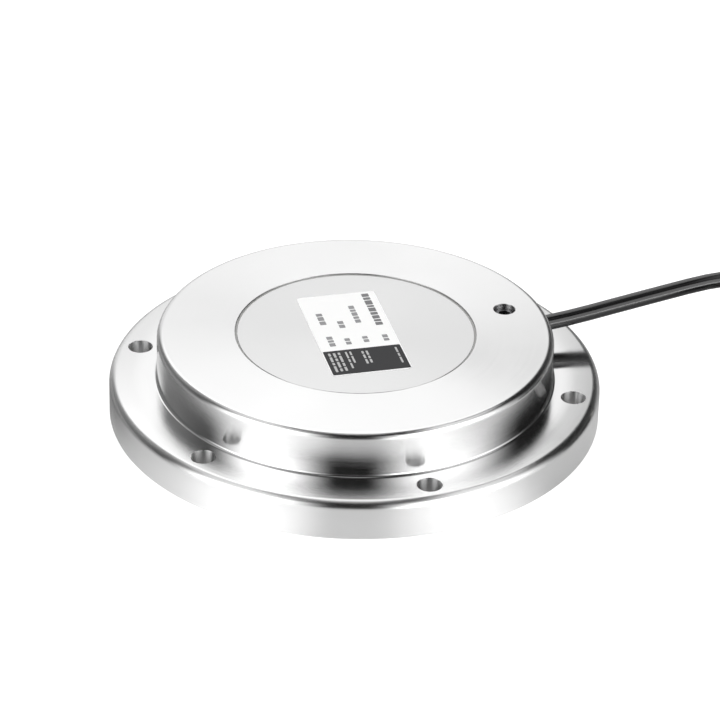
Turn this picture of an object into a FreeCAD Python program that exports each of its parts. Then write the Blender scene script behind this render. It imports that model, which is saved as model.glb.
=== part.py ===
import FreeCAD, Part
import math
import os
import Sketcher

os.makedirs("parts", exist_ok=True)
doc = FreeCAD.newDocument("load_cell")
V3 = FreeCAD.Vector

# ---------------------------------------------------------------- sizes (mm)
TABLE = [
    # body: flange, rim, cavity, web and hub, all turned about Z
    ("flange_dia", 180), ("flange_thick", 15), ("rim_dia", 145), ("body_height", 32),
    ("flange_edge_round", 3.0), ("rim_edge_round", 2.4), ("foot_chamfer", 0.8), ("foot_fillet", 1.0),
    ("bolt_circle", 162), ("bolt_hole_dia", 9), ("bolt_count", 6), ("hole_chamfer", 0.1),
    ("recess_dia", 88), ("recess_depth", 2.4), ("recess_chamfer", 0.15),
    ("cavity_dia", 80), ("web_top", 18), ("web_under", 10), ("web_fillet", 3.0),
    ("cavity_fillet", 1.5), ("hub_dia", 48), ("hub_top", 22), ("hub_relief", 0.5),
    ("load_thread_dia", 20), ("load_thread_depth", 15), ("load_thread_mouth", 1.0),
    # cable exit
    ("cable_axis", 22.5), ("cable_dia", 6), ("cable_bore_dia", 6.6), ("bush_bore_dia", 9),
    ("bush_bore_depth", 8), ("bush_set_back", 0.3), ("bush_edge", 0.4), ("jacket_end_pos", 43.5),
    ("clamp_pos", 58), ("clamp_hole_dia", 8), ("clamp_mouth", 0.15),
    ("clamp_screw_dia", 7.9), ("clamp_screw_length", 4), ("clamp_socket_flats", 4), ("clamp_socket_depth", 2.2),
    ("clamp_pad_dia", 7.2), ("clamp_pad_top", 26.2), ("clamp_pad_bottom", 24),
    # cover
    ("cover_dia", 86.6), ("cover_thick", 2.0), ("cover_chamfer", 0.12), ("seal_height", 1.85),
    ("label_width", 29.5), ("label_length", 58), ("label_thick", 0.1), ("label_corner", 1.2),
    ("label_turn", -5), ("label_shift_x", -0.8), ("label_shift_y", 0.1),
    # bridge board on the hub
    ("board_dia", 44), ("board_thick", 1.2), ("spacer_height", 2), ("spacer_dia", 5),
    ("board_screw_circle", 26), ("board_screw_count", 3), ("tapped_hole_dia", 2.5), ("tapped_hole_depth", 4.5),
    ("board_hole_dia", 2.8), ("screw_shank_dia", 2.4), ("screw_shank_length", 7), ("screw_head_dia", 4.5),
    ("screw_head_height", 1.4), ("screw_slot_width", 0.7), ("screw_slot_depth", 0.7),
    ("resistor_length", 3.2), ("resistor_width", 1.6), ("resistor_height", 0.6),
    ("joint_base_dia", 1.9), ("joint_tip_dia", 0.8), ("joint_height", 0.8),
    ("core_pitch", 3), ("core_pad_pos", 17.1), ("gauge_pad_radius", 19.3),
    # gauges on the web
    ("gauge_count", 4), ("gauge_turn", 45), ("gauge_thick", 0.1), ("gauge_width", 5),
    ("gauge_inner_near", 25.5), ("gauge_inner_far", 31), ("gauge_outer_near", 33), ("gauge_outer_far", 38.5),
    ("gauge_wire_dia", 0.4),
    # cores and the free end
    ("core_dia", 1.3), ("core_offset", 0.95), ("drain_dia", 0.9), ("tip_dia", 0.8), ("tip_length", 6),
    ("sleeve_dia", 6.6), ("sleeve_back", 8), ("sleeve_front", 4),
    # coil on the floor beside the body
    ("coil_pos_x", 190), ("coil_pos_y", -42.3), ("coil_inner_dia", 42.6), ("coil_outer_dia", 90.6),
    ("coil_bottom", 1.1), ("coil_height", 24), ("coil_corner", 3.2),
    ("tie_gap", 0.05), ("tie_thick", 1.0), ("tie_width", 2.6), ("tie_head_width", 4.4), ("tie_head_height", 4.0),
    ("tie_head_depth", 3.2), ("tie_tail_length", 6), ("tie_tail_thick", 0.9),
    ("tie_count", 2), ("tie_step", 170), ("tie_turn", -40),
]
sheet = doc.addObject("Spreadsheet::Sheet", "Sizes")
for row, (alias, number) in enumerate(TABLE, 1):
    sheet.set("A%d" % row, alias)
    sheet.set("B%d" % row, str(number))
    sheet.setAlias("B%d" % row, alias)
doc.recompute()


class Size:
    """A length together with the sheet expression that gives it."""

    def __init__(self, value, text):
        self.value = float(value)
        self.text = text

    def _join(self, other, sign, value):
        text = other.text if isinstance(other, Size) else repr(other)
        return Size(value, "(%s %s %s)" % (self.text, sign, text))

    def __add__(self, other):
        return self._join(other, "+", self.value + num(other))

    def __sub__(self, other):
        return self._join(other, "-", self.value - num(other))

    def __mul__(self, other):
        return self._join(other, "*", self.value * num(other))

    def __truediv__(self, other):
        return self._join(other, "/", self.value / num(other))


def num(item):
    return item.value if isinstance(item, Size) else float(item)


def S(alias):
    return Size(float(sheet.get(alias)), "Sizes." + alias)


def val(alias):
    return float(sheet.get(alias))


def bind(obj, prop, size):
    if isinstance(size, Size):
        obj.setExpression(prop, size.text)
    else:
        obj.setExpression(prop, repr(size))


# ---------------------------------------------------------------- helpers
nodes = []


def new_body(name):
    body = doc.addObject("PartDesign::Body", name)
    body.Label = name
    body.AllowCompound = True
    nodes.append(body)
    return body


def plane(body, role):
    return [f for f in body.Origin.OriginFeatures if f.Role == role][0]


def new_sketch(body, name, role, lift=None):
    sk = body.newObject("Sketcher::SketchObject", name)
    sk.AttachmentSupport = [(plane(body, role), "")]
    sk.MapMode = "FlatFace"
    if lift is not None:
        sk.setExpression("AttachmentOffset.Base.z", lift.text)
    return sk


def pin(sk, geo, end, x, y):
    """Fix one end of a line at (x, y) of the sketch, each bound to the sheet."""
    for kind, item, axis in (("DistanceX", x, -2), ("DistanceY", y, -1)):
        if num(item) == 0.0 and not isinstance(item, Size):
            sk.addConstraint(Sketcher.Constraint("PointOnObject", geo, end, axis))
            continue
        at = sk.addConstraint(Sketcher.Constraint(kind, -1, 1, geo, end, num(item)))
        if isinstance(item, Size):
            sk.setExpression("Constraints[%d]" % at, item.text)


def outline(sk, points):
    """A closed outline of straight lines through points given as sizes."""
    first = sk.GeometryCount
    count = len(points)
    ends = [V3(num(x), num(y), 0) for x, y in points]
    for i in range(count):
        sk.addGeometry(Part.LineSegment(ends[i], ends[(i + 1) % count]), False)
    for i in range(count):
        sk.addConstraint(Sketcher.Constraint("Coincident", first + i, 2, first + (i + 1) % count, 1))
    for i, (x, y) in enumerate(points):
        pin(sk, first + i, 1, x, y)


def axis_line(sk, a, b):
    """A construction line, used as the axis of a turned feature."""
    geo = sk.addGeometry(Part.LineSegment(V3(num(a[0]), num(a[1]), 0), V3(num(b[0]), num(b[1]), 0)), True)
    pin(sk, geo, 1, *a)
    pin(sk, geo, 2, *b)


def rectangle(sk, x0, y0, x1, y1):
    outline(sk, [(x0, y0), (x1, y0), (x1, y1), (x0, y1)])


def turned(body, sk, name, axis="V_Axis", cut=False):
    feat = body.newObject("PartDesign::Groove" if cut else "PartDesign::Revolution", name)
    feat.Profile = sk
    feat.ReferenceAxis = (sk, [axis])
    feat.Angle = 360
    doc.recompute()
    return feat


def padded(body, sk, name, length, both=False):
    feat = body.newObject("PartDesign::Pad", name)
    feat.Profile = sk
    bind(feat, "Length", length)
    if both:
        feat.Midplane = True
    doc.recompute()
    return feat


def pocketed(body, sk, name, length):
    before = body.Shape.Volume
    feat = body.newObject("PartDesign::Pocket", name)
    feat.Profile = sk
    bind(feat, "Length", length)
    doc.recompute()
    if body.Shape.Volume >= before - 1e-6:
        raise RuntimeError("pocket cuts nothing: " + name)
    return feat


def around(body, features, name, count, angle=None):
    feat = body.newObject("PartDesign::PolarPattern", name)
    feat.Originals = features
    feat.Axis = (plane(body, "Z_Axis"), [""])
    feat.Angle = 360 if angle is None else angle
    bind(feat, "Occurrences", count)
    body.Tip = feat
    doc.recompute()
    return feat


def ring_edges(feature, rings):
    """Names of the full-circle edges about Z with these radii and heights."""
    found = []
    for i, edge in enumerate(feature.Shape.Edges, 1):
        curve = edge.Curve
        if curve.TypeId != "Part::GeomCircle":
            continue
        for radius, height in rings:
            if abs(curve.Radius - radius) < 1e-4 and abs(curve.Center.z - height) < 1e-4:
                found.append("Edge%d" % i)
    if len(found) != len(rings):
        raise RuntimeError("edges not found: %s" % (rings,))
    return found


def straight_edges(feature, test):
    return ["Edge%d" % i for i, e in enumerate(feature.Shape.Edges, 1)
            if e.Curve.TypeId == "Part::GeomLine" and test(e)]


def rounded(body, base, names, name, radius):
    feat = body.newObject("PartDesign::Fillet", name)
    feat.Base = (base, names)
    feat.Radius = radius.value
    bind(feat, "Radius", radius)
    doc.recompute()
    return feat


def placed(obj, x, y, z, turn=None):
    for axis, item in zip("xyz", (x, y, z)):
        if isinstance(item, Size):
            obj.setExpression("Placement.Base." + axis, item.text)
        else:
            obj.setExpression("Placement.Base." + axis, repr(float(item)))
    if turn is not None:
        obj.setExpression("Placement.Rotation.Angle", turn.text)


def route(points):
    """Straight runs joined by tangent arcs, each as large as its two runs allow."""
    edges, radii, at = [], [], points[0]
    for a, b, c in zip(points, points[1:], points[2:]):
        u, w = (b - a).normalize(), (c - b).normalize()
        turn = u.getAngle(w)
        trim = 0.45 * min((b - a).Length, (c - b).Length)
        start, end = b - u * trim, b + w * trim
        radius = trim / math.tan(turn / 2)
        half = (w - u).normalize()
        centre = b + half * (radius / math.cos(turn / 2))
        middle = centre - half * radius
        edges.append(Part.LineSegment(at, start).toShape())
        edges.append(Part.Arc(start, middle, end).toShape())
        radii.append(radius)
        at = end
    edges.append(Part.LineSegment(at, points[-1]).toShape())
    return Part.Wire(edges), radii


def tube(name, points, dia):
    points = [V3(*p) for p in points]
    path, radii = route(points)
    section = Part.Wire(Part.makeCircle(dia / 2, points[0], points[1] - points[0]))
    solid = path.makePipeShell([section], True, False)
    want = math.pi * dia * dia / 4 * path.Length
    print("%s: %.1f mm, least radius %.1f mm of %s, volume %.4f of section x length"
          % (name, path.Length, min(radii) if radii else 0, [round(r) for r in radii], solid.Volume / want))
    return solid


def shaped(name, shape):
    obj = doc.addObject("Part::Feature", name)
    obj.Label = name
    obj.Shape = shape
    obj.Placement = FreeCAD.Placement()
    nodes.append(obj)
    return obj


# ---------------------------------------------------------------- body
flange_r = S("flange_dia") / 2
rim_r = S("rim_dia") / 2
top = S("body_height")
ledge = top - S("recess_depth")
recess_r = S("recess_dia") / 2
cavity_r = S("cavity_dia") / 2
hub_r = S("hub_dia") / 2
thread_r = S("load_thread_dia") / 2
fc, rc = S("foot_chamfer"), S("recess_chamfer")
relief = S("hub_relief")
mouth = S("load_thread_mouth")
thread_top = relief + S("load_thread_depth")

body = new_body("body")
sk = new_sketch(body, "body_profile", "XZ_Plane")
outline(sk, [
    (0, thread_top), (thread_r, thread_top), (thread_r, relief + mouth), (thread_r + mouth, relief),
    (hub_r - fc, relief), (hub_r, relief + fc), (hub_r, S("web_under")), (cavity_r, S("web_under")),
    (cavity_r, fc), (cavity_r + fc, 0), (flange_r - fc, 0), (flange_r, fc),
    (flange_r, S("flange_thick")), (rim_r, S("flange_thick")), (rim_r, top),
    (recess_r + rc, top), (recess_r, top - rc), (recess_r, ledge), (cavity_r, ledge),
    (cavity_r, S("web_top")), (hub_r, S("web_top")), (hub_r, S("hub_top")), (0, S("hub_top")),
])
turn = turned(body, sk, "body_turned")
web = rounded(body, turn, ring_edges(turn, [(val("hub_dia") / 2, val("web_under")), (val("cavity_dia") / 2, val("web_under"))]),
              "web_corners", S("web_fillet"))
floor_round = rounded(body, web, ring_edges(web, [(val("hub_dia") / 2, val("web_top")), (val("cavity_dia") / 2, val("web_top"))]),
                      "cavity_corners", S("cavity_fillet"))
foot = rounded(body, floor_round, ring_edges(floor_round, [(val("rim_dia") / 2, val("flange_thick"))]), "rim_foot", S("foot_fillet"))
# outer edges rolled over by the polishing
flange_edge = rounded(body, foot, ring_edges(foot, [(val("flange_dia") / 2, val("flange_thick"))]), "flange_edge", S("flange_edge_round"))
rim_edge = rounded(body, flange_edge, ring_edges(flange_edge, [(val("rim_dia") / 2, val("body_height"))]), "rim_edge", S("rim_edge_round"))

# flange bolt hole with broken edges at both faces, six around
bolt_x = S("bolt_circle") / 2
bolt_r = S("bolt_hole_dia") / 2
hc = S("hole_chamfer")
sk = new_sketch(body, "bolt_hole_profile", "YZ_Plane")
axis_line(sk, (bolt_x, Size(-2, "-2")), (bolt_x, S("flange_thick") + 2))
outline(sk, [
    (bolt_x, Size(-1, "-1")), (bolt_x + bolt_r + hc + 1, Size(-1, "-1")), (bolt_x + bolt_r, hc),
    (bolt_x + bolt_r, S("flange_thick") - hc), (bolt_x + bolt_r + hc + 1, S("flange_thick") + 1),
    (bolt_x, S("flange_thick") + 1),
])
bolt_hole = turned(body, sk, "bolt_hole", "Axis0", cut=True)
bolt_holes = around(body, [bolt_hole], "bolt_holes", S("bolt_count"))

# stepped cable bore through the rim wall, narrow inside and wide for the bush outside
za = S("cable_axis")
bush_r = S("bush_bore_dia") / 2
shoulder = rim_r - S("bush_bore_depth")
sk = new_sketch(body, "cable_bore_profile", "XZ_Plane")
axis_line(sk, (cavity_r - 3, za), (rim_r + 3, za))
outline(sk, [
    (cavity_r - 2, za), (rim_r + 2, za), (rim_r + 2, za + bush_r), (shoulder, za + bush_r),
    (shoulder, za + S("cable_bore_dia") / 2), (cavity_r - 2, za + S("cable_bore_dia") / 2),
])
cable_bore = turned(body, sk, "cable_bore", "Axis0", cut=True)

# clamp hole from the rim's face down to the cable
xc = S("clamp_pos")
clamp_r = S("clamp_hole_dia") / 2
cm = S("clamp_mouth")
sk = new_sketch(body, "clamp_hole_profile", "XZ_Plane")
axis_line(sk, (xc, za - 1), (xc, top + 2))
outline(sk, [
    (xc, za), (xc + clamp_r, za), (xc + clamp_r, top - cm), (xc + clamp_r + cm + 1, top + 1), (xc, top + 1),
])
clamp_hole = turned(body, sk, "clamp_hole", "Axis0", cut=True)

# tapped holes for the board's screws, in the top of the hub
xs = S("board_screw_circle") / -2
tap_r = S("tapped_hole_dia") / 2
sk = new_sketch(body, "tapped_hole_profile", "XZ_Plane")
axis_line(sk, (xs, S("hub_top") - 8), (xs, S("hub_top") + 3))
outline(sk, [
    (xs, S("hub_top") - S("tapped_hole_depth")), (xs + tap_r, S("hub_top") - S("tapped_hole_depth")),
    (xs + tap_r, S("hub_top") + 1), (xs, S("hub_top") + 1),
])
tapped = turned(body, sk, "tapped_hole", "Axis0", cut=True)
around(body, [tapped], "tapped_holes", S("board_screw_count"))

# ---------------------------------------------------------------- cover, seal and label
cover_r = S("cover_dia") / 2
cover_top = ledge + S("cover_thick")
cover = new_body("cover_plate")
sk = new_sketch(cover, "cover_profile", "XZ_Plane")
outline(sk, [
    (0, ledge), (cover_r, ledge), (cover_r, cover_top - S("cover_chamfer")),
    (cover_r - S("cover_chamfer"), cover_top), (0, cover_top),
])
turned(cover, sk, "cover_turned")

seal = new_body("cover_seal")
sk = new_sketch(seal, "seal_profile", "XZ_Plane")
rectangle(sk, cover_r, ledge, recess_r, ledge + S("seal_height"))
turned(seal, sk, "seal_turned")

label = new_body("rating_label")
sk = new_sketch(label, "label_outline", "XY_Plane")
rectangle(sk, S("label_width") / -2, S("label_length") / -2, S("label_width") / 2, S("label_length") / 2)
pad = padded(label, sk, "label_sheet", S("label_thick"))
rounded(label, pad, straight_edges(pad, lambda e: abs(e.Vertexes[0].Z - e.Vertexes[1].Z) > 1e-6), "label_corners", S("label_corner"))
placed(label, S("label_shift_x"), S("label_shift_y"), cover_top, S("label_turn"))

# ---------------------------------------------------------------- coil and cable
coil = new_body("cable_coil")
sk = new_sketch(coil, "coil_profile", "XZ_Plane")
coil_top = S("coil_bottom") + S("coil_height")
coil_in, coil_out = S("coil_inner_dia") / 2, S("coil_outer_dia") / 2
rectangle(sk, coil_in, S("coil_bottom"), coil_out, coil_top)
coil_turn = turned(coil, sk, "coil_turned")
rounded(coil, coil_turn, ring_edges(coil_turn, [(r, z) for r in (coil_in.value, coil_out.value) for z in (val("coil_bottom"), coil_top.value)]),
        "coil_corners", S("coil_corner"))
placed(coil, S("coil_pos_x"), S("coil_pos_y"), 0)
doc.recompute()

cable_d = val("cable_dia")
zc = val("cable_axis")
exit_x = val("rim_dia") / 2
RUN = [
    (val("jacket_end_pos"), 0, zc), (exit_x, 0, zc), (112, 0, 27.5), (152, 0, 32.2),
    (187, 0, 23.1), (212, -9, 16.5),
]
TAIL = [(200, -1, 4.2), (224, -4.5, 3.7), (240, -19, 3.4), (252, -40, 3.4)]
jacket = tube("cable_run", RUN, cable_d)
run = shaped("cable_run", jacket.cut(coil.Shape))
tail = shaped("cable_tail", tube("cable_tail", TAIL, cable_d).cut(coil.Shape))

# ---------------------------------------------------------------- cable bush and clamp
# the bush ends just inside the rim's wall
barrel = doc.addObject("Part::Cylinder", "bush_barrel")
bind(barrel, "Radius", bush_r)
bind(barrel, "Height", S("bush_bore_depth") - S("bush_set_back"))
barrel.Placement = FreeCAD.Placement(V3(0, 0, 0), FreeCAD.Rotation(V3(0, 1, 0), 90))
placed(barrel, shoulder, 0, za)
doc.recompute()
bush_blank = doc.addObject("Part::Chamfer", "bush_blank")
bush_blank.Base = barrel
outer = [i for i, e in enumerate(barrel.Shape.Edges, 1)
         if e.Curve.TypeId == "Part::GeomCircle" and e.Curve.Center.x > shoulder.value + 1]
bush_blank.Edges = [(i, val("bush_edge"), val("bush_edge")) for i in outer]
bush = doc.addObject("Part::Cut", "cable_bush")
bush.Label = "cable_bush"
bush.Base = bush_blank
bush.Tool = run
nodes.append(bush)

pad_blank = doc.addObject("Part::Cylinder", "clamp_pad_blank")
bind(pad_blank, "Radius", S("clamp_pad_dia") / 2)
bind(pad_blank, "Height", S("clamp_pad_top") - S("clamp_pad_bottom"))
placed(pad_blank, xc, 0, S("clamp_pad_bottom"))
clamp_pad = doc.addObject("Part::Cut", "clamp_pad")
clamp_pad.Label = "clamp_pad"
clamp_pad.Base = pad_blank
clamp_pad.Tool = run
nodes.append(clamp_pad)

screw = new_body("clamp_screw")
screw_r, screw_l = S("clamp_screw_dia") / 2, S("clamp_screw_length")
sk = new_sketch(screw, "clamp_screw_profile", "XZ_Plane")
outline(sk, [
    (0, 0), (screw_r - 0.7, 0), (screw_r, Size(0.7, "0.7")), (screw_r, screw_l - 0.5),
    (screw_r - 0.5, screw_l), (0, screw_l),
])
turned(screw, sk, "clamp_screw_turned")
sk = new_sketch(screw, "clamp_socket", "XY_Plane", screw_l)
corner = S("clamp_socket_flats") / math.sqrt(3.0)
outline(sk, [
    (corner, 0), (corner / 2, S("clamp_socket_flats") / 2), (corner / -2, S("clamp_socket_flats") / 2),
    (corner * -1, 0), (corner / -2, S("clamp_socket_flats") / -2), (corner / 2, S("clamp_socket_flats") / -2),
])
pocketed(screw, sk, "clamp_socket_cut", S("clamp_socket_depth"))
placed(screw, xc, 0, S("clamp_pad_top"))

# ---------------------------------------------------------------- bridge board on the hub
board_z = S("hub_top") + S("spacer_height")
board_top = board_z + S("board_thick")
board = new_body("terminal_board")
sk = new_sketch(board, "board_profile", "XZ_Plane")
rectangle(sk, 0, board_z, S("board_dia") / 2, board_top)
turned(board, sk, "board_disc")
sk = new_sketch(board, "board_hole_profile", "XZ_Plane")
axis_line(sk, (xs, board_z - 2), (xs, board_top + 2))
rectangle(sk, xs, board_z - 1, xs + S("board_hole_dia") / 2, board_top + 1)
board_hole = turned(board, sk, "board_hole", "Axis0", cut=True)
around(board, [board_hole], "board_holes", S("board_screw_count"))

spacers = new_body("board_spacers")
sk = new_sketch(spacers, "spacer_profile", "XZ_Plane")
axis_line(sk, (xs, S("hub_top") - 1), (xs, board_z + 1))
rectangle(sk, xs + S("board_hole_dia") / 2, S("hub_top"), xs + S("spacer_dia") / 2, board_z)
one = turned(spacers, sk, "spacer", "Axis0")
around(spacers, [one], "spacers", S("board_screw_count"))

screws = new_body("board_screws")
sk = new_sketch(screws, "board_screw_profile", "XZ_Plane")
axis_line(sk, (xs, board_top - 12), (xs, board_top + 3))
shank, head = S("screw_shank_dia") / 2, S("screw_head_dia") / 2
outline(sk, [
    (xs, board_top - S("screw_shank_length")), (xs + shank, board_top - S("screw_shank_length")), (xs + shank, board_top),
    (xs + head, board_top), (xs + head, board_top + S("screw_head_height") - 0.5),
    (xs + head - 0.5, board_top + S("screw_head_height")), (xs, board_top + S("screw_head_height")),
])
one = turned(screws, sk, "board_screw", "Axis0")
sk = new_sketch(screws, "board_screw_slot", "XY_Plane", board_top + S("screw_head_height"))
rectangle(sk, xs - head - 0.5, S("screw_slot_width") / -2, xs + head + 0.5, S("screw_slot_width") / 2)
slot = pocketed(screws, sk, "board_screw_slot_cut", S("screw_slot_depth"))
around(screws, [one, slot], "board_screw_set", S("board_screw_count"))

resistors = new_body("trim_resistors")
sk = new_sketch(resistors, "resistor_outlines", "XY_Plane", board_top)
for x, y in ((-9, 7), (-9, 3.5), (-9, -3.5), (-9, -7), (2, 2.5), (2, -2.5)):
    rectangle(sk, Size(x, str(x)), Size(y, str(y)), S("resistor_length") + x, S("resistor_width") + y)
padded(resistors, sk, "resistor_blocks", S("resistor_height"))

# solder joints: one for each cable core, and four for each pair of gauges
pitch = S("core_pitch")
spots = [(S("core_pad_pos"), pitch * k) for k in (-2, -1, 0, 1, 2)]
turn0 = math.radians(val("gauge_turn"))
joints = []
for q in range(int(val("gauge_count"))):
    a = turn0 + q * 2 * math.pi / int(val("gauge_count"))
    for side in (-3.6, -1.2, 1.2, 3.6):
        spots.append((S("gauge_pad_radius") * math.cos(a) - side * math.sin(a),
                      S("gauge_pad_radius") * math.sin(a) + side * math.cos(a)))
for k, (x, y) in enumerate(spots):
    cone = doc.addObject("Part::Cone", "joint_%02d" % k)
    bind(cone, "Radius1", S("joint_base_dia") / 2)
    bind(cone, "Radius2", S("joint_tip_dia") / 2)
    bind(cone, "Height", S("joint_height"))
    placed(cone, x, y, board_top)
    joints.append(cone)
solder = doc.addObject("Part::Compound", "solder_joints")
solder.Label = "solder_joints"
solder.Links = joints
nodes.append(solder)

# ---------------------------------------------------------------- gauges on the web
gauges = new_body("strain_gauges")
sk = new_sketch(gauges, "gauge_outlines", "XY_Plane", S("web_top"))
half = S("gauge_width") / 2
rectangle(sk, S("gauge_inner_near"), S("gauge_width") / -2, S("gauge_inner_far"), half)
rectangle(sk, S("gauge_outer_near"), S("gauge_width") / -2, S("gauge_outer_far"), half)
one = padded(gauges, sk, "gauge_pair", S("gauge_thick"))
around(gauges, [one], "gauge_set", S("gauge_count"))
placed(gauges, 0, 0, 0, S("gauge_turn"))

wires = []
deck = val("hub_top") + val("spacer_height") + val("board_thick")
web_z = val("web_top") + val("gauge_thick")
for q in range(int(val("gauge_count"))):
    a = turn0 + q * 2 * math.pi / int(val("gauge_count"))
    er, et = V3(math.cos(a), math.sin(a), 0), V3(-math.sin(a), math.cos(a), 0)
    for r0, t0, t1 in ((val("gauge_inner_far") - 0.6, -0.9, -1.2), (val("gauge_inner_far") - 0.6, 0.9, 1.2),
                       (val("gauge_outer_near") + 0.6, -2.0, -3.6), (val("gauge_outer_near") + 0.6, 2.0, 3.6)):
        pts = [er * r0 + et * t0 + V3(0, 0, web_z + 0.05), er * (r0 - 0.4) + et * t0 + V3(0, 0, web_z + 3.6),
               er * 26.2 + et * (t0 + t1) * 0.5 + V3(0, 0, deck + 1.0), er * (val("gauge_pad_radius") + 1.2) + et * t1 + V3(0, 0, deck + 0.35)]
        wires.append(tube("gauge_wire", [tuple(p) for p in pts], val("gauge_wire_dia")))
shaped("gauge_wires", Part.makeCompound(wires))

# ---------------------------------------------------------------- cable cores inside the cavity
off, core_d, drain_d = val("core_offset"), val("core_dia"), val("drain_dia")
jx = val("jacket_end_pos")
pad_x = val("core_pad_pos") + val("joint_base_dia") / 2 + 0.3
CORES = (("red", off, off, 2), ("green", off, -off, 1), ("white", -off, -off, -1), ("black", -off, off, -2))
for colour, oy, oz, k in CORES:
    py = k * val("core_pitch")
    lift = 1.5 if oz > 0 else 0.5
    shaped("core_" + colour, tube("core_" + colour, [
        (jx, oy, zc + oz), (35.5, oy, zc + oz), (28, py * 0.75, deck + core_d / 2 + lift), (pad_x, py, deck + core_d / 2 + 0.05)], core_d))
shaped("core_drain", tube("core_drain", [
    (jx, 0, zc), (35.5, 0, zc), (28, 0, deck + drain_d / 2 + 0.6), (pad_x, 0, deck + drain_d / 2 + 0.05)], drain_d))

# ---------------------------------------------------------------- stripped free end
end = V3(*TAIL[-1])
along = (end - V3(*TAIL[-2])).normalize()
across = V3(0, 0, 1).cross(along).normalize()
upward = along.cross(across)
sleeve = Part.makeCylinder(val("sleeve_dia") / 2, val("sleeve_back") + val("sleeve_front"), end - along * val("sleeve_back"), along)
sleeve = sleeve.cut(Part.makeCylinder(cable_d / 2, val("sleeve_back") + val("sleeve_front") + 2, end - along * (val("sleeve_back") + 1), along))
shaped("end_sleeve", sleeve)
flat = V3(along.x, along.y, 0).normalize()
tips = []
for colour, oy, oz, k in CORES:
    spread = {2: 9.0, 1: 3.4, -1: -3.4, -2: -9.0}[k]
    start = end + across * oy + upward * oz
    mid = end + flat * 20 + across * (spread * 0.55)
    last = end + flat * 38 + across * spread
    pts = [start, start + along * 7, V3(mid.x, mid.y, 0.9), V3(last.x, last.y, 0.72)]
    shaped("end_" + colour, tube("end_" + colour, [tuple(p) for p in pts], core_d))
    tips.append(Part.makeCylinder(val("tip_dia") / 2, val("tip_length"), pts[3], pts[3] - pts[2]))
mid, last = end + flat * 20, end + flat * 40
shaped("end_drain", tube("end_drain", [tuple(end), tuple(end + along * 7), (mid.x, mid.y, 0.75), (last.x, last.y, 0.55)], drain_d))
shaped("lead_tips", Part.makeCompound(tips))

# ---------------------------------------------------------------- ties around the coil
ties = new_body("coil_ties")
gap, thick = S("tie_gap"), S("tie_thick")
sk = new_sketch(ties, "tie_band", "XZ_Plane")
rectangle(sk, coil_in - gap - thick, S("coil_bottom") - gap - thick, coil_out + gap + thick, coil_top + gap + thick)
rectangle(sk, coil_in - gap, S("coil_bottom") - gap, coil_out + gap, coil_top + gap)
band = padded(ties, sk, "tie_loop", S("tie_width"), both=True)
lo_x, hi_x = coil_in.value - val("tie_gap"), coil_out.value + val("tie_gap")


def along_y(inside):
    def test(e):
        a, b = e.Vertexes[0].Point, e.Vertexes[1].Point
        if abs(a.x - b.x) > 1e-6 or abs(a.z - b.z) > 1e-6:
            return False
        inner = abs(a.x - lo_x) < 1e-4 or abs(a.x - hi_x) < 1e-4
        return inner == inside
    return test


inner_round = rounded(ties, band, straight_edges(band, along_y(True)), "tie_inner_round", S("coil_corner") + gap)
outer_round = rounded(ties, inner_round, straight_edges(inner_round, along_y(False)), "tie_outer_round", S("coil_corner") + gap + thick)
head_z = S("coil_bottom") + S("coil_height") / 2
sk = new_sketch(ties, "tie_head_outline", "XZ_Plane")
head_x = coil_out + gap + thick / 2
rectangle(sk, head_x, head_z - S("tie_head_height") / 2, head_x + S("tie_head_depth"), head_z + S("tie_head_height") / 2)
tie_head = padded(ties, sk, "tie_head", S("tie_head_width"), both=True)
sk = new_sketch(ties, "tie_tail_outline", "XZ_Plane")
tail_x = head_x + S("tie_head_depth") - S("tie_tail_thick") - 0.5
tail_z = head_z + S("tie_head_height") / 2
rectangle(sk, tail_x, tail_z - 0.5, tail_x + S("tie_tail_thick"), tail_z + S("tie_tail_length"))
tie_tail = padded(ties, sk, "tie_tail", S("tie_width"), both=True)
pair = ties.newObject("PartDesign::PolarPattern", "tie_pair")
pair.TransformMode = "Whole shape"
pair.Axis = (plane(ties, "Z_Axis"), [""])
pair.Reversed = True
pair.Mode = "Spacing"
bind(pair, "Offset", S("tie_step"))
bind(pair, "Occurrences", S("tie_count"))
ties.Tip = pair
placed(ties, S("coil_pos_x"), S("coil_pos_y"), 0, S("tie_turn"))
doc.recompute()

# ---------------------------------------------------------------- check and write
doc.recompute()
for obj in doc.Objects:
    if any(word in obj.State for word in ("Invalid", "Error")):
        raise RuntimeError("%s: %s" % (obj.Name, obj.State))
for obj in nodes:
    shape = obj.Shape
    if shape.isNull() or not shape.isValid() or not shape.Solids:
        raise RuntimeError("bad shape: " + obj.Label)
    shape.exportStep("parts/%s.step" % obj.Label)
    box = shape.BoundBox
    print("%-15s %2d solid(s) %10.1f mm3  x %.1f..%.1f y %.1f..%.1f z %.2f..%.2f"
          % (obj.Label, len(shape.Solids), shape.Volume, box.XMin, box.XMax, box.YMin, box.YMax, box.ZMin, box.ZMax))
print(len(nodes), "nodes")
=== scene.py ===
import math

import bmesh
import bpy
from mathutils import Matrix, Vector


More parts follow.
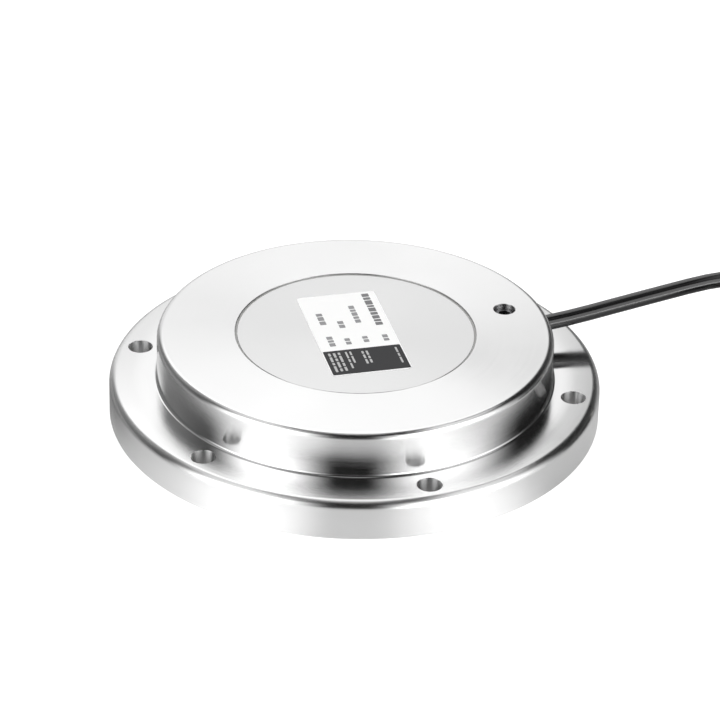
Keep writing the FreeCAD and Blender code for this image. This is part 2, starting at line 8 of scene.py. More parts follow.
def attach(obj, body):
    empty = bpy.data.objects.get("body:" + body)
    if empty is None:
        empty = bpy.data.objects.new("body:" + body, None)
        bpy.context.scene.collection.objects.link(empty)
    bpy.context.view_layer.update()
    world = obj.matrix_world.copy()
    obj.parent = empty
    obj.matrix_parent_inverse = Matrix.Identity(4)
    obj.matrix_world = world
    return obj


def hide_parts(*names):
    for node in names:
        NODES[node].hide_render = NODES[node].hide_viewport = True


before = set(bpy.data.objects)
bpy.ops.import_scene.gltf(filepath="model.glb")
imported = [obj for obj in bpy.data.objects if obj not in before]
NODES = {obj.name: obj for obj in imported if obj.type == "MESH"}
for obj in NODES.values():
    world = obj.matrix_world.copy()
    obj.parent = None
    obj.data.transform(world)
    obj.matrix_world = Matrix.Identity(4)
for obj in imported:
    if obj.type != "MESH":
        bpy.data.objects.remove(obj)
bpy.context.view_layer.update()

scene = bpy.context.scene
MM = 0.001


def mm(*values):
    return tuple(v * MM for v in values)


def linked(name, data):
    obj = bpy.data.objects.new(name, data)
    scene.collection.objects.link(obj)
    return obj


# ---------------------------------------------------------------- camera
# Fitted to the photograph's circles, holes and cable: azimuth -19.5, elevation 30.2, a long lens.
CAM_AT = Vector((-0.367361, -1.040221, 0.662496))
CAM_RIGHT = Vector((0.9461752, -0.3229794, 0.0209020))
CAM_UP = Vector((0.1455087, 0.4821795, 0.8639040))
CAM_BACK = -Vector((0.2891017, 0.8143631, -0.5032226))

cam = bpy.data.cameras.new("camera")
cam.sensor_width = 36.0
cam.lens = 174.25
cam.clip_start, cam.clip_end = 0.05, 60.0
camera = linked("camera", cam)
turn = Matrix((CAM_RIGHT, CAM_UP, CAM_BACK)).transposed().to_4x4()
camera.matrix_world = Matrix.Translation(CAM_AT) @ turn
scene.camera = camera

# ---------------------------------------------------------------- cable
# part.py's route, then the turns of the coil, then part.py's tail.
RUN = [(43.5, 0, 22.5), (72.5, 0, 22.5), (112, 0, 27.5), (152, 0, 32.2), (187, 0, 23.1)]
TAIL = [(224, -4.5, 3.7), (240, -19, 3.4), (252, -40, 3.4)]
COIL_AT = (190.0, -42.3)
LAYERS = [
    (22.1, (42.3, 36.3, 30.3, 24.3)),
    (16.1, (24.3, 30.3, 36.3, 42.3)),
    (10.1, (42.3, 36.3, 30.3)),
    (4.1, (30.3, 36.3)),
]
LAST = (42.3, 4.1)  # where the tail leaves it
PER_TURN = 16
INSIDE = 0.981      # an order-3 spline runs this far inside a ring of 16 points
STEP_OVER = 0.24    # the share of a turn in which it moves to the next row


def smooth(x):
    x = min(1.0, max(0.0, x))
    return x * x * (3 - 2 * x)


def coil_points():
    turns = [(r, z) for z, radii in LAYERS for r in radii]
    turns.append(LAST)
    found = []
    for k in range((len(turns) - 1) * PER_TURN + 1):
        t = (k + 0.5) / PER_TURN
        row = min(int(t), len(turns) - 2)
        share = smooth((t - row - (1 - STEP_OVER)) / STEP_OVER)
        (r0, z0), (r1, z1) = turns[row], turns[row + 1]
        r = (r0 + (r1 - r0) * share) / INSIDE
        angle = 2 * math.pi * t
        found.append((COIL_AT[0] + r * math.sin(angle), COIL_AT[1] + r * math.cos(angle), z0 + (z1 - z0) * share))
    return found


curve = bpy.data.curves.new("cable", "CURVE")
curve.dimensions = "3D"
spline = curve.splines.new("NURBS")
route = [*RUN, *coil_points(), *TAIL]
spline.points.add(len(route) - 1)
for point, at in zip(spline.points, route):
    point.co = (*mm(*at), 1.0)
    point.radius = 3.0 * MM
spline.order_u = 3
spline.use_endpoint_u = True
spline.resolution_u = 5
curve.bevel_depth = 1.0    # times each point's radius, half the cable's diameter, which the curve's box is grown by too
curve.bevel_resolution = 6
curve.use_fill_caps = True
curve.twist_mode = "MINIMUM"
cable = linked("cable", curve)
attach(cable, "root")
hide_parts("cable_run", "cable_coil", "cable_tail")

# ---------------------------------------------------------------- ties round the coil, drawn tight on the turns that they hold
TIES = (-40.0, 150.0)    # where part.py has them, in degrees round the coil
TIE_SECTION = ((-1.3, 3.3), (-1.05, 3.05), (1.05, 3.05), (1.3, 3.3), (1.3, 3.8), (1.05, 4.05), (-1.05, 4.05), (-1.3, 3.8))


def centre_line():
    """Points on the cable's own spline."""
    bare = curve.copy()
    bare.bevel_depth = 0.0
    holder = bpy.data.objects.new("centre_line", bare)
    mesh = bpy.data.meshes.new_from_object(holder)
    found = [v.co / MM for v in mesh.vertices]
    bpy.data.objects.remove(holder)
    bpy.data.meshes.remove(mesh)
    bpy.data.curves.remove(bare)
    return found


def turns_at(line, c, s):
    """(distance from the coil's axis, height) of each turn where it passes a direction from that axis."""
    found = []
    for a, b in zip(line, line[1:]):
        ra, rb = ((p.x - COIL_AT[0]) * c + (p.y - COIL_AT[1]) * s for p in (a, b))
        ta, tb = ((p.y - COIL_AT[1]) * c - (p.x - COIL_AT[0]) * s for p in (a, b))
        if (ta < 0) != (tb < 0):
            share = ta / (ta - tb)
            r = ra + (rb - ra) * share
            if 0 < r < 46:
                found.append((r, a.z + (b.z - a.z) * share))
    return found


def hull(points):
    """The outline round points in a plane, counter-clockwise."""
    def half(row):
        found = []
        for p in row:
            while len(found) > 1 and ((found[-1][0] - found[-2][0]) * (p[1] - found[-2][1])
                                      - (found[-1][1] - found[-2][1]) * (p[0] - found[-2][0])) <= 1e-6:
                found.pop()
            found.append(p)
        return found[:-1]
    points = sorted(points)
    return half(points) + half(points[::-1])


def tie(bm, line, degrees):
    """A strap round the turns, its head on the coil's outer side and the cut end that stands up from it."""
    c, s = math.cos(math.radians(degrees)), math.sin(math.radians(degrees))

    def at(r, t, z):
        return mm(COIL_AT[0] + r * c - t * s, COIL_AT[1] + r * s + t * c, z)

    def block(r0, r1, width, z0, z1, edge):
        corners = bmesh.ops.create_cube(bm, size=1.0)["verts"]
        for v in corners:
            x, y, z = v.co
            v.co = at(r0 + (x + 0.5) * (r1 - r0), y * width, z0 + (z + 0.5) * (z1 - z0))
        bmesh.ops.bevel(bm, geom=list({e for v in corners for e in v.link_edges}), offset=edge * MM, segments=3,
                        profile=0.5, affect="EDGES")

    outline = hull(turns_at(line, c, s))
    rings = []
    for k, (r, z) in enumerate(outline):
        (r0, z0), (r1, z1) = outline[k - 1], outline[(k + 1) % len(outline)]
        first, last = math.atan2(r0 - r, z - z0), math.atan2(r - r1, z1 - z)
        span = (last - first) % (2 * math.pi)
        for i in range(7):
            a = first + span * i / 6
            rings.append([bm.verts.new(at(r + h * math.cos(a), w, z + h * math.sin(a))) for w, h in TIE_SECTION])
    n = len(TIE_SECTION)
    for k, ring in enumerate(rings):
        before = rings[k - 1]
        for i in range(n):
            bm.faces.new((before[i], before[(i + 1) % n], ring[(i + 1) % n], ring[i]))
    head = max(r for r, z in outline) + 3.1
    block(head, head + 3.2, 4.4, 11.1, 15.1, 0.5)
    block(head + 1.8, head + 2.7, 2.6, 14.6, 21.1, 0.2)


bm = bmesh.new()
line = centre_line()
for degrees in TIES:
    tie(bm, line, degrees)
bmesh.ops.recalc_face_normals(bm, faces=bm.faces)
mesh = bpy.data.meshes.new("coil_tie_straps")
bm.to_mesh(mesh)
bm.free()
mesh.shade_smooth()
mesh.set_sharp_from_angle(angle=math.radians(40))
straps = linked("coil_tie_straps", mesh)
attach(straps, "root")
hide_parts("coil_ties")


# ---------------------------------------------------------------- thread in the load hole
def piece(name, verts, faces, body="root"):
    mesh = bpy.data.meshes.new(name)
    mesh.from_pydata([mm(*v) for v in verts], [], faces)
    mesh.validate()
    obj = linked(name, mesh)
    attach(obj, body)
    return obj


def thread_ridge(name, at, wall, crest, pitch, low, high, per_turn=72):
    """A helical ridge on a hole's wall, run out to nothing at both ends."""
    turns = (high - low) / pitch - 0.9
    count = int(turns * per_turn)
    verts, faces = [], []
    for k in range(count + 1):
        angle = 2 * math.pi * k / per_turn
        z = low + pitch * (0.45 + k / per_turn)
        share = smooth(min(k, count - k) / (0.3 * per_turn))
        tip = wall + 0.03 - (wall + 0.03 - crest) * max(share, 0.02)
        for r, dz in ((wall + 0.03, -0.44), (tip, -0.07), (tip, 0.07), (wall + 0.03, 0.44)):
            verts.append((at[0] + r * math.cos(angle), at[1] + r * math.sin(angle), z + dz * pitch * max(share, 0.05)))
    for k in range(count):
        a, b = 4 * k, 4 * k + 4
        for i in range(4):
            j = (i + 1) % 4
            faces.append((a + i, b + i, b + j, a + j))
    faces += [(0, 1, 2, 3), (4 * count + 3, 4 * count + 2, 4 * count + 1, 4 * count)]
    return piece(name, verts, faces)


thread_ridge("load_thread_ridge", (0.0, 0.0), 10.0, 9.19, 1.5, 1.55, 15.2)

# ---------------------------------------------------------------- print on the label: a plain band and plain dashes
LABEL_TOP = 31.7
LABEL_TURN, LABEL_SHIFT = math.radians(-5.0), (-0.8, 0.1)


def on_label(x, y):
    return (LABEL_SHIFT[0] + x * math.cos(LABEL_TURN) - y * math.sin(LABEL_TURN),
            LABEL_SHIFT[1] + x * math.sin(LABEL_TURN) + y * math.cos(LABEL_TURN))


def printed(name, fields, low, high, corner):
    """Thin fields of ink with rounded corners: each is (x0, y0, x1, y1) on the label."""
    verts, faces = [], []
    for x0, y0, x1, y1 in fields:
        ring = []
        for cx, cy, start in ((x1 - corner, y1 - corner, 0), (x0 + corner, y1 - corner, 90),
                              (x0 + corner, y0 + corner, 180), (x1 - corner, y0 + corner, 270)):
            for k in range(5):
                a = math.radians(start + 22.5 * k)
                ring.append(on_label(cx + corner * math.cos(a), cy + corner * math.sin(a)))
        first, n = len(verts), len(ring)
        verts += [(x, y, low) for x, y in ring] + [(x, y, high) for x, y in ring]
        faces += [tuple(first + n - 1 - k for k in range(n)), tuple(first + n + k for k in range(n))]
        faces += [(first + k, first + (k + 1) % n, first + n + (k + 1) % n, first + n + k) for k in range(n)]
    return piece(name, verts, faces)


def dashes(x, width, start, lengths, gap):
    """Dashes along the label's long side, from start towards its dark band."""
    found = []
    for length in lengths:
        found.append((x - width / 2, start - length, x + width / 2, start))
        start -= length + gap
    return found


INK = (LABEL_TOP - 0.01, LABEL_TOP + 0.02)
printed("label_band", [(-14.35, -28.6, 14.35, -11.6)], *INK, 0.5)
printed("label_line", dashes(10.8, 2.7, 27.4, (2.4, 1.8, 3.2, 1.4, 2.8, 2.0, 2.4, 1.6, 2.2), 0.5), *INK, 0.3)
printed("label_dashes", [
    *dashes(10.6, 2.0, -3.6, (2.2, 1.8), 0.5),
    *dashes(3.6, 2.1, 19.5, (2.4, 1.6, 2.6, 1.8, 2.4), 0.5), *dashes(3.2, 2.0, -3.4, (1.8, 2.0), 0.5),
    *dashes(-3.0, 2.2, 9.2, (2.2, 2.4), 0.5), *dashes(-3.5, 2.0, -3.6, (2.0, 2.0), 0.5),
    *dashes(-9.4, 2.3, 16.0, (2.0, 2.8, 2.6), 0.5), *dashes(-9.6, 2.2, -1.2, (2.2, 1.6, 2.4), 0.5),
], *INK, 0.25)
printed("label_band_dashes", [
    *dashes(-12.4, 0.9, -13.2, (2.0, 3.4, 1.6, 4.2), 0.7), *dashes(-10.6, 0.9, -13.2, (3.2, 1.8, 4.0, 2.0), 0.7),
    *dashes(-8.8, 0.9, -13.2, (1.6, 4.4, 2.2, 2.8), 0.7), *dashes(-6.2, 0.7, -13.2, (4.6, 2.0, 3.8), 0.7),
    *dashes(-4.6, 0.7, -13.2, (2.6, 4.8), 0.7), *dashes(-0.2, 0.8, -13.8, (1.8, 2.6, 3.2), 0.7),
    *dashes(1.4, 0.8, -13.8, (3.0, 1.8, 2.4), 0.7), *dashes(12.3, 0.7, -13.4, (3.6, 2.2, 4.0), 0.7),
], LABEL_TOP + 0.01, LABEL_TOP + 0.04, 0.2)


# ---------------------------------------------------------------- node helpers
class Tree:
    """A node tree with short calls: each returns an output socket."""

    def __init__(self, tree):
        self.tree = tree
        tree.nodes.clear()

    def node(self, kind, inputs=None, **settings):
        n = self.tree.nodes.new(kind)
        for key, value in settings.items():
            setattr(n, key, value)
        for key, value in (inputs or {}).items():
            self.put(n.inputs[key], value)
        return n

    def put(self, socket, value):
        if isinstance(value, bpy.types.NodeSocket):
            self.tree.links.new(value, socket)
        else:
            socket.default_value = value

    def math(self, operation, a, b=0.0, c=0.0):
        return self.node("ShaderNodeMath", {0: a, 1: b, 2: c}, operation=operation).outputs[0]

    def vector(self, operation, a, b=(0, 0, 0)):
        n = self.node("ShaderNodeVectorMath", {0: a, 1: b}, operation=operation)
        return n.outputs["Value" if operation in ("LENGTH", "DOT_PRODUCT", "DISTANCE") else "Vector"]

    def scaled(self, vector, by):
        n = self.node("ShaderNodeVectorMath", {0: vector}, operation="SCALE")
        self.put(n.inputs["Scale"], by)
        return n.outputs["Vector"]

    def ramp(self, value, low, high, to_low=0.0, to_high=1.0, kind="SMOOTHSTEP"):
        n = self.node("ShaderNodeMapRange", {"Value": value, "From Min": low, "From Max": high, "To Min": to_low, "To Max": to_high},
                      interpolation_type=kind)
        return n.outputs["Result"]

    def window(self, value, low, high, soft_low, soft_high=None):
        soft_high = soft_low if soft_high is None else soft_high
        rise = self.ramp(value, low - soft_low, low + soft_low)
        fall = self.ramp(value, high - soft_high, high + soft_high, 1.0, 0.0)
        return self.math("MULTIPLY", rise, fall)

    def noise(self, vector, scale, detail=2.0, rough=0.5, distort=0.0):
        n = self.node("ShaderNodeTexNoise", {"Vector": vector, "Scale": scale, "Detail": detail, "Roughness": rough, "Distortion": distort})
        return n.outputs["Fac"]

    def noise_1d(self, value, scale, detail=2.0, rough=0.5):
        n = self.node("ShaderNodeTexNoise", {"W": value, "Scale": scale, "Detail": detail, "Roughness": rough}, noise_dimensions="1D")
        return n.outputs["Fac"]

    def mix(self, share, a, b):
        n = self.node("ShaderNodeMix", data_type="RGBA")
        self.put(n.inputs["Factor"], share)
        self.put(n.inputs["A"] if n.inputs["A"].type == "RGBA" else n.inputs[6], a)
        self.put(n.inputs["B"] if n.inputs["B"].type == "RGBA" else n.inputs[7], b)
        return n.outputs[2]

    def bump(self, height, strength, distance, normal=None):
        n = self.node("ShaderNodeBump", {"Height": height, "Strength": strength, "Distance": distance})
        if normal is not None:
            self.put(n.inputs["Normal"], normal)
        return n.outputs["Normal"]

    def xyz(self, vector):
        return self.node("ShaderNodeSeparateXYZ", {0: vector}).outputs


def grey(v, warm=0.0):
    return (v * (1 + warm), v, v * (1 - warm), 1.0)


def material(name):
    m = bpy.data.materials.new(name)
    m.use_nodes = True
    t = Tree(m.node_tree)
    coords = t.node("ShaderNodeTexCoord").outputs["Object"]
    return m, t, t.scaled(coords, 1000.0)


def shader(t, **inputs):
    n = t.node("ShaderNodeBsdfPrincipled", inputs)
    out = t.node("ShaderNodeOutputMaterial")
    t.tree.links.new(n.outputs[0], out.inputs["Surface"])
    return n


def give(m, *names):
    for name in names:
        obj = NODES[name] if name in NODES else bpy.data.objects[name]
        obj.data.materials.clear()
        obj.data.materials.append(m)


def turned_steel(name, colour, rough_flat, rough_wall, marks, drawn, top_from=None, rough_top=None, drilled=None, coarser=None, foot=None, rolled=None, edges=()):
    """Lathe-turned, polished steel. The marks follow the radius on flat faces and the height on walls.
    drilled: the nearest and farthest radius of the flange holes' walls, and their roughness. The clamp hole's wall has
    a third of it.
    The flange holes' walls carry painted light and shade: painted lighter on their outer side, which the rim wall
    mirrors, and painted darker on their inner one.
    coarser: the radii between which flat faces go from rough_flat to a third value, as the tool's cut coarsens
    outwards.
    foot: the levels between which a wall goes from a third roughness at its foot to rough_wall.
    rolled: a flat face's lowest and highest level, the radii between which its shading tilts outwards as if polishing
    rolled it off, and the slope it ends with.
    edges: centre radius and height of each rounded outer edge, whose shading then follows the true arc and not the
    facets."""
    m, t, p = material(name)
    x, y, z = t.xyz(p)
    radius = t.vector("LENGTH", t.node("ShaderNodeCombineXYZ", {"X": x, "Y": y}).outputs[0])
    outward = t.vector("NORMALIZE", t.node("ShaderNodeCombineXYZ", {"X": x, "Y": y}).outputs[0])
    normal = t.node("ShaderNodeNewGeometry").outputs["Normal"]
    for centre, level in edges:
        out, up = t.math("SUBTRACT", radius, centre), t.math("SUBTRACT", z, level)
        arc = t.vector("NORMALIZE", t.vector("ADD", t.scaled(outward, out), t.node("ShaderNodeCombineXYZ", {"Z": up}).outputs[0]))
        on_arc = t.math("MULTIPLY", t.math("GREATER_THAN", out, 0.0), t.math("GREATER_THAN", up, 0.0))
        normal = t.vector("ADD", t.scaled(normal, t.math("SUBTRACT", 1.0, on_arc)), t.scaled(arc, on_arc))
    flat = t.ramp(t.math("ABSOLUTE", t.xyz(normal)[2]), 0.55, 0.9)
    along = t.math("ADD", t.math("MULTIPLY", radius, flat), t.math("MULTIPLY", z, t.math("SUBTRACT", 1.0, flat)))
    fine = t.noise_1d(along, 9.0, 3.0, 0.6)
    bands = t.noise_1d(along, 0.8, 2.0, 0.5)
    smudge = t.noise(p, 0.045, 4.0, 0.6, 0.4)
    hair = t.math("MULTIPLY", t.noise_1d(along, 4.0, 1.0, 0.5), t.noise(p, 0.11, 2.0, 0.5, 1.0))
    scratch = t.ramp(hair, 0.36, 0.44)
    on_flat = rough_flat if coarser is None else t.ramp(radius, coarser[0], coarser[1], rough_flat, coarser[2])
    on_wall = rough_wall
    if foot is not None:
        near = t.math("MULTIPLY", t.ramp(z, foot[0] - 0.4, foot[0]), t.ramp(z, foot[0], foot[1], rough_wall - foot[2], 0.0))
        on_wall = t.math("SUBTRACT", rough_wall, near)
    rough = t.math("ADD", t.math("MULTIPLY", flat, on_flat), t.math("MULTIPLY", t.math("SUBTRACT", 1.0, flat), on_wall))
    if drilled is not None:
        off_hole = t.vector("DISTANCE", t.node("ShaderNodeCombineXYZ", {"X": x, "Y": y}).outputs[0], (58.0, 0.0, 0.0))
        hole = t.math("MAXIMUM", t.window(radius, drilled[0], drilled[1], 0.2), t.ramp(off_hole, 4.2, 4.4, 0.3, 0.0))
        hole = t.math("MULTIPLY", hole, t.math("SUBTRACT", 1.0, flat))
        rough = t.math("ADD", t.math("MULTIPLY", hole, drilled[2]), t.math("MULTIPLY", t.math("SUBTRACT", 1.0, hole), rough))
    if top_from is not None:
        top = t.math("MULTIPLY", t.ramp(z, top_from - 0.3, top_from), flat)
        rough = t.math("ADD", t.math("MULTIPLY", top, rough_top), t.math("MULTIPLY", t.math("SUBTRACT", 1.0, top), rough))
    change = t.math("ADD", t.math("MULTIPLY", t.math("SUBTRACT", fine, 0.5), 0.06), t.math("MULTIPLY", t.math("SUBTRACT", bands, 0.5), 0.05))
    change = t.math("ADD", change, t.math("MULTIPLY", t.math("SUBTRACT", smudge, 0.5), 0.07))
    rough = t.math("MAXIMUM", t.math("ADD", t.math("ADD", rough, change), t.math("MULTIPLY", scratch, 0.02)), 0.03)
    tone = t.mix(t.math("ADD", t.math("MULTIPLY", smudge, 0.6), t.math("MULTIPLY", bands, 0.4)), grey(colour * 0.95), grey(colour * 1.05))
    # Painted light and shade: the flange holes' walls go from dark grey on their inner side to near white on their
    # outer side.
    if drilled is not None:
        tone = t.mix(t.math("MULTIPLY", hole, t.ramp(radius, 74.0, 76.0)), tone, t.mix(t.ramp(radius, 80.0, 83.0), grey(0.48), grey(0.97)))
    tangent = t.node("ShaderNodeTangent", direction_type="RADIAL", axis="Z").outputs[0]
    if rolled is not None:
        slope = t.math("MULTIPLY", t.math("MULTIPLY", t.ramp(radius, rolled[2], rolled[3], 0.0, rolled[4]), flat), t.window(z, rolled[0], rolled[1], 0.1))
        normal = t.vector("NORMALIZE", t.vector("ADD", normal, t.scaled(outward, slope)))
    shader(t, **{"Base Color": tone, "Metallic": 1.0, "Roughness": rough, "Anisotropic": drawn, "Anisotropic Rotation": 0.25,
                 "Tangent": tangent, "Normal": t.bump(fine, marks, 0.00002, normal)})
    return m


def plastic(name, colour, rough, grain=14.0, depth=0.1, specular=0.5, variation=0.12, along=None):
    """Moulded or extruded plastic and rubber: a little uneven in tone, with a fine skin."""
    m, t, p = material(name)
    q = t.vector("MULTIPLY", p, along) if along else p
    cloud = t.noise(p, 0.12, 3.0, 0.55)
    skin = t.noise(q, grain, 3.0, 0.6)
    dark = tuple(c * (1 - variation) for c in colour) + (1.0,)
    light = tuple(min(1.0, c * (1 + variation) + 0.002) for c in colour) + (1.0,)
    rough = t.math("ADD", rough - 0.08, t.math("MULTIPLY", t.math("ADD", t.math("MULTIPLY", cloud, 0.5), t.math("MULTIPLY", skin, 0.5)), 0.16))
    n = shader(t, **{"Base Color": t.mix(cloud, dark, light), "Roughness": rough, "Normal": t.bump(skin, depth, 0.00005)})
    n.inputs["Specular IOR Level"].default_value = specular
    return m


def metal(name, colour, rough, scale=6.0, depth=0.15, variation=0.1, stretch=(1, 1, 1)):
    """A small metal part: plated, tinned or drawn, with fine uneven marks."""
    m, t, p = material(name)
    fine = t.noise(t.vector("MULTIPLY", p, stretch), scale, 3.0, 0.6)
    cloud = t.noise(p, 0.4, 2.0, 0.5)
    dark = tuple(c * (1 - variation) for c in colour) + (1.0,)
    light = tuple(min(1.0, c * (1 + variation)) for c in colour) + (1.0,)
    rough = t.math("ADD", rough - 0.07, t.math("MULTIPLY", fine, 0.14))
    shader(t, **{"Base Color": t.mix(cloud, dark, light), "Metallic": 1.0, "Roughness": rough, "Normal": t.bump(fine, depth, 0.00005)})
    return m


# ---------------------------------------------------------------- materials
give(turned_steel("polished_steel_turned", 0.60, 0.105, 0.175, 0.02, 1.0, 31.6, 0.17, (76.2, 85.8, 0.42), (75.5, 83, 0.195), (15.0, 25.0, 0.10), (14.0, 15.5, 74, 90, 0.065),
                  ((87.0, 12.0), (70.1, 29.6))),
     "body", "load_thread_ridge")
give(turned_steel("cover_steel_satin", 0.52, 0.24, 0.22, 0.03, 0.4), "cover_plate")
give(plastic("seal_sealant", (0.42, 0.42, 0.41), 0.55, 5.0, 0.3), "cover_seal")
give(metal("screw_black_oxide", (0.11, 0.11, 0.115), 0.38, 9.0, 0.2, 0.2), "clamp_screw")
give(plastic("pad_nylon", (0.72, 0.71, 0.66), 0.45), "clamp_pad")
give(plastic("bush_rubber_moulded", (0.016, 0.016, 0.017), 0.42, 10.0, 0.15), "cable_bush")
give(plastic("cable_pvc", (0.004, 0.004, 0.0042), 0.16, 5.0, 0.06, 0.5), "cable")
give(plastic("tie_nylon_natural", (0.74, 0.73, 0.68), 0.36, 8.0, 0.12), "coil_tie_straps")
give(plastic("sleeve_shrink", (0.018, 0.018, 0.019), 0.36, 7.0, 0.2), "end_sleeve")
give(plastic("wire_red", (0.55, 0.025, 0.02), 0.28), "end_red", "core_red")
give(plastic("wire_black", (0.014, 0.014, 0.014), 0.28), "end_black", "core_black")
give(plastic("wire_green", (0.02, 0.25, 0.06), 0.28), "end_green", "core_green")
give(plastic("wire_white", (0.78, 0.78, 0.75), 0.30), "end_white", "core_white")
give(metal("copper_tinned", (0.62, 0.61, 0.58), 0.32, 5.0, 0.5), "end_drain", "lead_tips", "solder_joints", "core_drain")
give(plastic("board_solder_mask", (0.015, 0.14, 0.05), 0.35, 3.0, 0.2), "terminal_board")
give(metal("spacer_brass_turned", (0.62, 0.44, 0.18), 0.28, 5.0, 0.2, 0.08, (0.2, 0.2, 6)), "board_spacers")
give(metal("screw_zinc", (0.58, 0.58, 0.57), 0.30), "board_screws")
give(plastic("resistor_black", (0.03, 0.03, 0.033), 0.5), "trim_resistors")
give(plastic("gauge_polyimide", (0.50, 0.24, 0.05), 0.3, 4.0, 0.1), "strain_gauges")
give(metal("wire_enamelled", (0.55, 0.22, 0.09), 0.28, 4.0, 0.2), "gauge_wires")
give(plastic("label_film_white", (0.95, 0.95, 0.945), 0.38, 8.0, 0.05, 0.5, 0.02), "rating_label")
give(plastic("ink_charcoal", (0.040, 0.040, 0.042), 0.55, 9.0, 0.05, 0.12, 0.08), "label_band")
give(plastic("ink_dark_grey", (0.20, 0.20, 0.205), 0.55, 9.0, 0.05, 0.2, 0.1), "label_line")
give(plastic("ink_grey", (0.30, 0.30, 0.305), 0.55, 9.0, 0.05, 0.2, 0.1), "label_dashes")
give(plastic("ink_pale", (0.50, 0.50, 0.50), 0.5, 9.0, 0.05, 0.2, 0.05), "label_band_dashes")

# ---------------------------------------------------------------- floor, light
floor_mesh = bpy.data.meshes.new("floor")
SIDE = 14.0
floor_mesh.from_pydata([(-SIDE, -SIDE, -0.0002), (SIDE, -SIDE, -0.0002), (SIDE, SIDE, -0.0002), (-SIDE, SIDE, -0.0002)], [], [(0, 1, 2, 3)])
floor = linked("floor", floor_mesh)
m = bpy.data.materials.new("floor_white")
m.use_nodes = True
t = Tree(m.node_tree)
# Painted light: the floor glows in place of the light falling on it, most in front of the soft boxes and least at the
# right. Under the part it glows at a steady half.
FRONT = Vector((CAM_AT.x, CAM_AT.y, 0)).normalized()
RIGHT = Vector((-FRONT.y, FRONT.x, 0))
DEG = 180 / math.pi
place = t.node("ShaderNodeTexCoord").outputs["Object"]
x, y, z = t.xyz(place)
out = t.vector("LENGTH", t.node("ShaderNodeCombineXYZ", {"X": x, "Y": y}).outputs[0])
round_it = t.math("MULTIPLY", t.math("ARCTAN2", t.vector("DOT_PRODUCT", place, tuple(RIGHT)), t.vector("DOT_PRODUCT", place, tuple(FRONT))), DEG)
painted_light_pools = t.math("MAXIMUM", t.ramp(round_it, -16, -4, 1.0, 0.62), t.ramp(round_it, 4, 30, 0.62, 1.0))
painted_light_pools = t.math("MULTIPLY", painted_light_pools, t.math("MULTIPLY", t.ramp(round_it, -95, -30), t.ramp(round_it, 34, 56, 1.0, 0.46)))
painted_light_pools = t.math("MULTIPLY", painted_light_pools, t.math("MULTIPLY", t.ramp(round_it, 80, 100, 1.0, 0.5), t.ramp(out, 0.098, 0.124, 1.0, 0.8)))
painted_light_pools = t.math("MULTIPLY", painted_light_pools, t.ramp(round_it, 120, 175, 1.0, 0.0))
beside = t.ramp(out, 0.086, 0.0895)
# Painted light: camera rays see the floor glow at least 0.84, which paints out the shadows on it.
painted_glow_for_camera = t.math("MULTIPLY", t.node("ShaderNodeLightPath").outputs["Is Camera Ray"], 0.35)
painted_glow = t.math("ADD", t.math("MULTIPLY", beside, painted_light_pools), t.math("MULTIPLY", t.math("SUBTRACT", 1.0, beside), 0.5))
painted_glow = t.math("MAXIMUM", painted_glow, t.math("MULTIPLY", painted_glow_for_camera, 2.4))
# Painted shade: the base colour goes from 0.45 to 0.15 grey just beside the part on its left, a painted contact shadow.
white = t.node("ShaderNodeBsdfPrincipled", {
    "Base Color": t.mix(t.math("MULTIPLY", t.window(round_it, -112, -79, 22, 13), t.math("MULTIPLY", beside, t.ramp(out, 0.095, 0.14, 1.0, 0.0))), grey(0.45), grey(0.15)),
    "Roughness": 0.18, "Specular IOR Level": 0.9, "Emission Color": grey(1.0), "Emission Strength": painted_glow})
through = t.node("ShaderNodeBsdfTransparent")
back = t.node("ShaderNodeNewGeometry").outputs["Backfacing"]
both = t.node("ShaderNodeMixShader", {0: back, 1: white.outputs[0], 2: through.outputs[0]})
t.tree.links.new(both.outputs[0], t.node("ShaderNodeOutputMaterial").inputs["Surface"])
floor.data.materials.append(m)

# The studio round it: two soft boxes at the front, a white backdrop, a soft ceiling and darker gaps between.
world = bpy.data.worlds.new("studio")
scene.world = world
world.use_nodes = True
t = Tree(world.node_tree)
toward = t.node("ShaderNodeTexCoord").outputs["Generated"]
ahead = t.vector("DOT_PRODUCT", toward, tuple(FRONT))
aside = t.vector("DOT_PRODUCT", toward, tuple(RIGHT))
azimuth = t.math("MULTIPLY", t.math("ARCTAN2", aside, ahead), DEG)
height = t.math("MULTIPLY", t.math("ARCSINE", t.xyz(toward)[2]), DEG)
# degrees off straight behind, positive to the right
off_back = t.math("SUBTRACT", t.math("MULTIPLY", t.math("SIGN", azimuth), 180.0), azimuth)


def panel(az, el, strength):
    return t.math("MULTIPLY", t.math("MULTIPLY", az, el), strength)


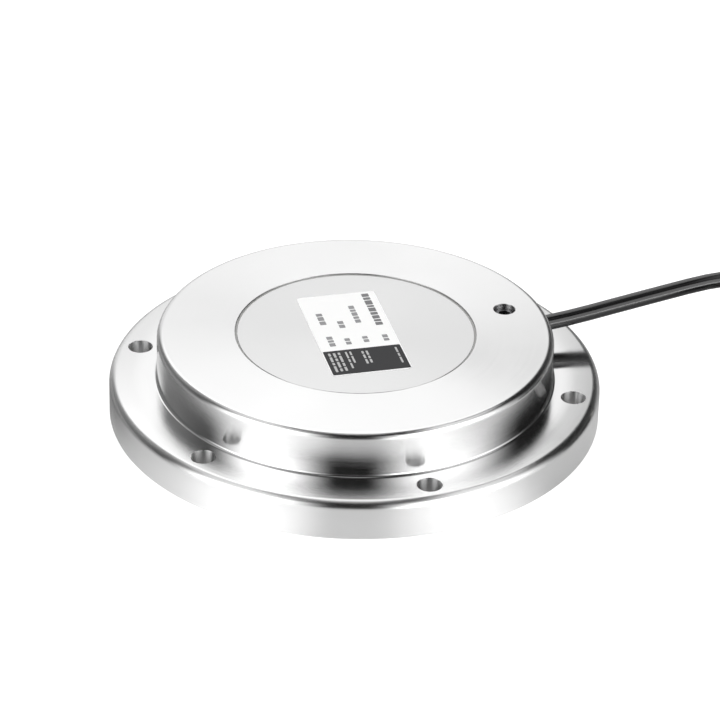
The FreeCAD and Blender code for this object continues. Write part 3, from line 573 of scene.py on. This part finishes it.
low_band = t.window(height, 1, 45, 2, 4)
left_box = t.math("MULTIPLY", t.ramp(azimuth, -47, -8, 1.0, 0.0), t.ramp(azimuth, -94, -54))
right_box = t.math("MULTIPLY", t.ramp(azimuth, 7, 46), t.ramp(azimuth, 55, 112, 1.0, 0.0))
backdrop = t.math("MULTIPLY", t.ramp(off_back, -38, -22), t.ramp(t.math("SUBTRACT", off_back, t.ramp(height, 32, 50, 0.0, 11.0)), 5, 15, 1.0, 0.0))
backdrop = t.math("MULTIPLY", backdrop, t.ramp(off_back, -18, 2, 1.09, 1.0))
backdrop = t.math("MULTIPLY", backdrop, t.window(height, 3, 75, 3))
high_band = t.window(height, 50, 70, 4)
left_high = t.math("MULTIPLY", t.ramp(azimuth, -60, -14, 1.0, 0.0), t.math("MULTIPLY", t.ramp(azimuth, -128, -98, 0.35, 1.0), t.ramp(azimuth, -176, -150)))
right_high = t.math("MULTIPLY", t.ramp(azimuth, 44, 76), t.ramp(azimuth, 128, 150, 1.0, 0.0))
strip = t.math("MULTIPLY", t.window(azimuth, 20, 48, 8), t.window(height, 1.5, 6, 1.5))
under = t.window(height, -65, -14, 12)
lights = [
    panel(left_box, low_band, 4.0),
    panel(right_box, low_band, 3.3),
    panel(backdrop, 1.0, t.ramp(height, 24, 38, 1.05, 2.08, "LINEAR")),
    panel(left_high, high_band, 1.0),
    panel(right_high, high_band, 1.2),
    panel(t.ramp(height, 76, 86), 1.0, 0.9),
    panel(strip, 1.0, 9.0),
    panel(t.window(azimuth, 104, 165, 12), t.ramp(height, 16, 24, 1.0, 0.0), 0.08),
    panel(t.math("MULTIPLY", t.window(azimuth, -150, -90, 10), t.ramp(azimuth, -128, -96, 1.0, 0.5)), t.ramp(height, 22, 34, 0.23, 0.38), 1.0),
    panel(0.02, 1.0, 1.0),
    panel(t.ramp(height, 0, 6, 1.0, 0.0), 1.0, 0.36),
    panel(t.window(azimuth, -75, 0, 35), under, 0.9),
    panel(t.window(off_back, 10, 75, 30), under, 0.7),
]
total = lights[0]
for other in lights[1:]:
    total = t.math("ADD", total, other)
seen = t.node("ShaderNodeLightPath").outputs["Is Camera Ray"]
total = t.math("ADD", t.math("MULTIPLY", total, t.math("SUBTRACT", 1.0, seen)), t.math("MULTIPLY", seen, 1.0))
sky = t.node("ShaderNodeBackground", {"Color": grey(1.0), "Strength": total})
t.tree.links.new(sky.outputs[0], t.node("ShaderNodeOutputWorld").inputs["Surface"])

scene.view_settings.view_transform = "Standard"
scene.view_settings.look = "None"
scene.view_settings.exposure = 0.0
scene.view_settings.gamma = 1.0
